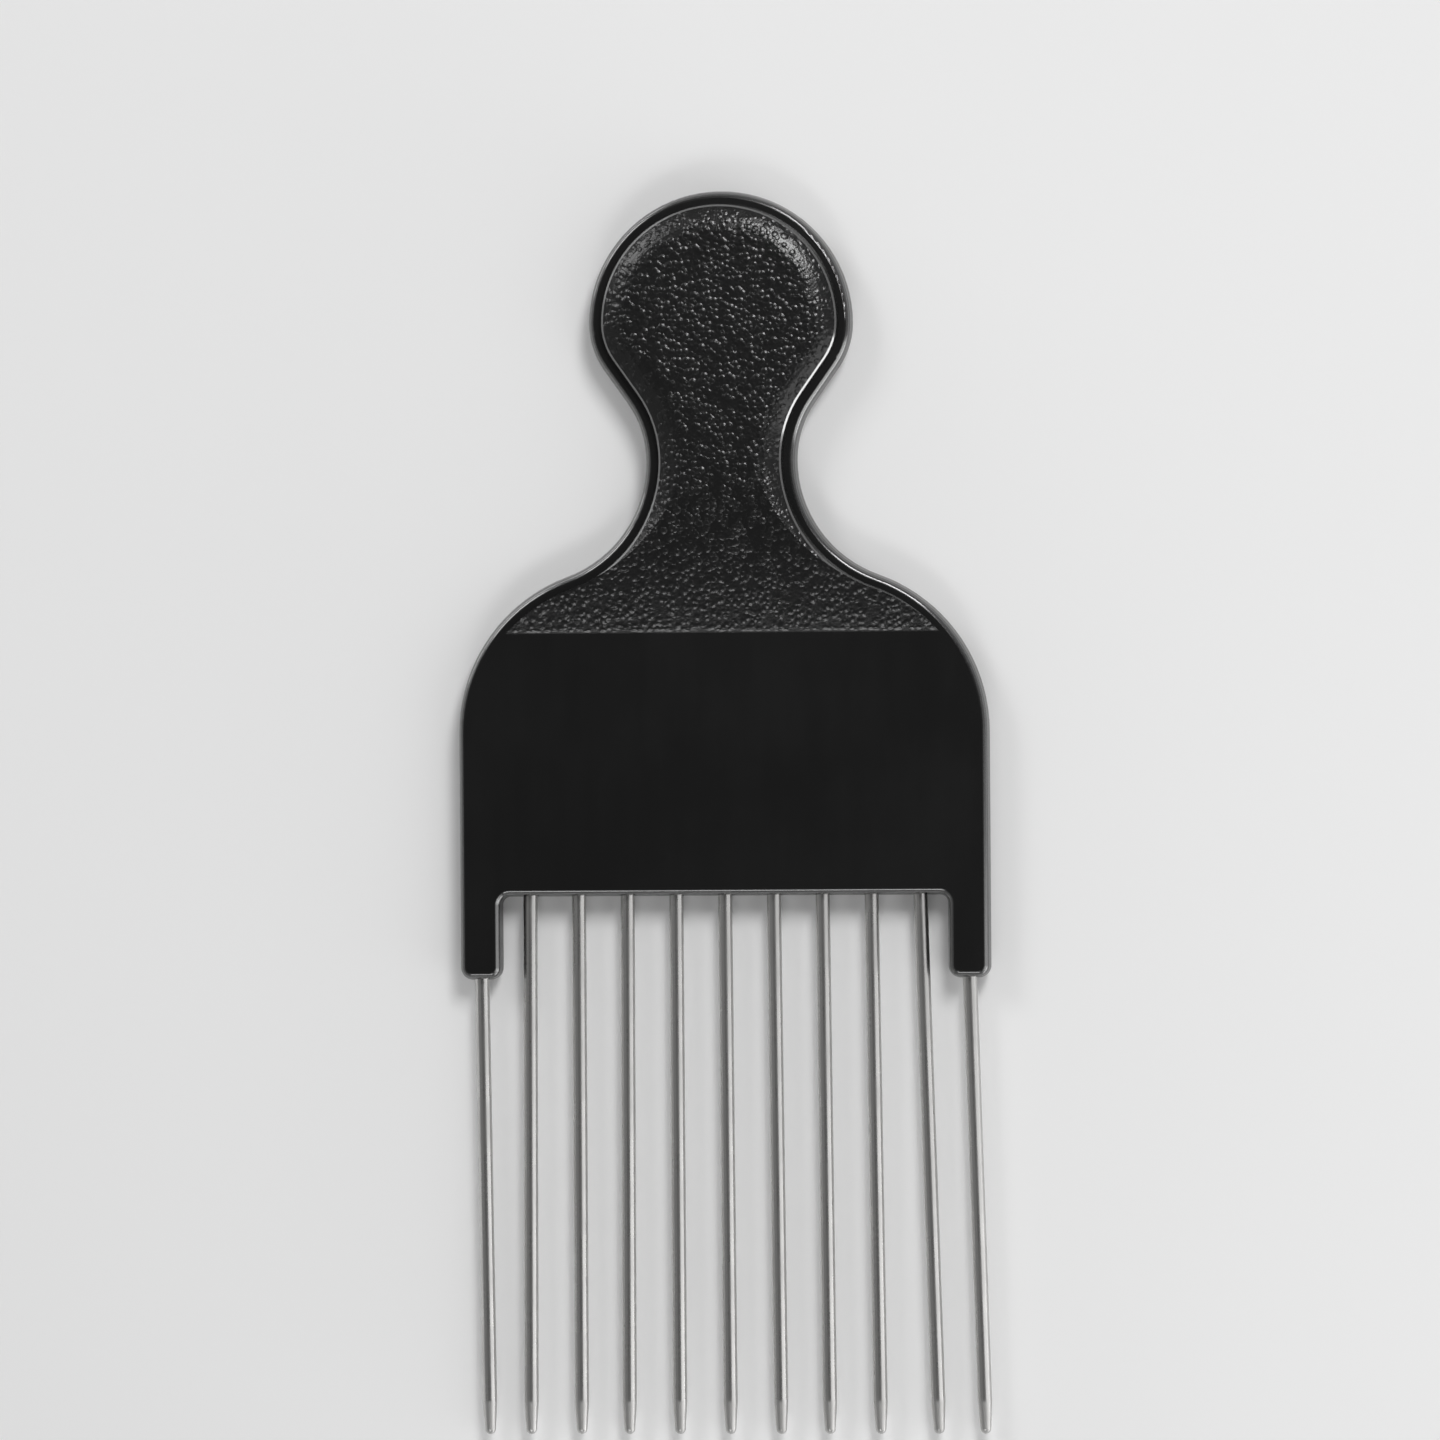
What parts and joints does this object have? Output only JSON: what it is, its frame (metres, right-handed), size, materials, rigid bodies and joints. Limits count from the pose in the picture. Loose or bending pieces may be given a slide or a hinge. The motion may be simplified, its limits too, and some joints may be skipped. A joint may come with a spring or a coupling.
{
  "type": "afro pick",
  "caption": "Wide-toothed hair pick with a round-knobbed black moulded handle and long straight steel tines.",
  "frame": {"origin": "middle of the pick's length and width, on the flat back of the handle", "axes": "+Y from the tips of the tines to the knob, +Z out of the grained front of the grip, +X to the right as the front is seen"},
  "size_m": [0.0744, 0.1738, 0.0087],
  "materials": {
    "plastic": "fine pebble grain on the grip, smooth elsewhere",
    "steel": "polished"
  },
  "bodies": {
    "root": {"front_shell": "plastic", "back_shell": "plastic", "tine_01": "steel", "tine_02": "steel", "tine_03": "steel", "tine_04": "steel", "tine_05": "steel", "tine_06": "steel", "tine_07": "steel", "tine_08": "steel", "tine_09": "steel", "tine_10": "steel", "tine_11": "steel"}
  },
  "joints": []
}
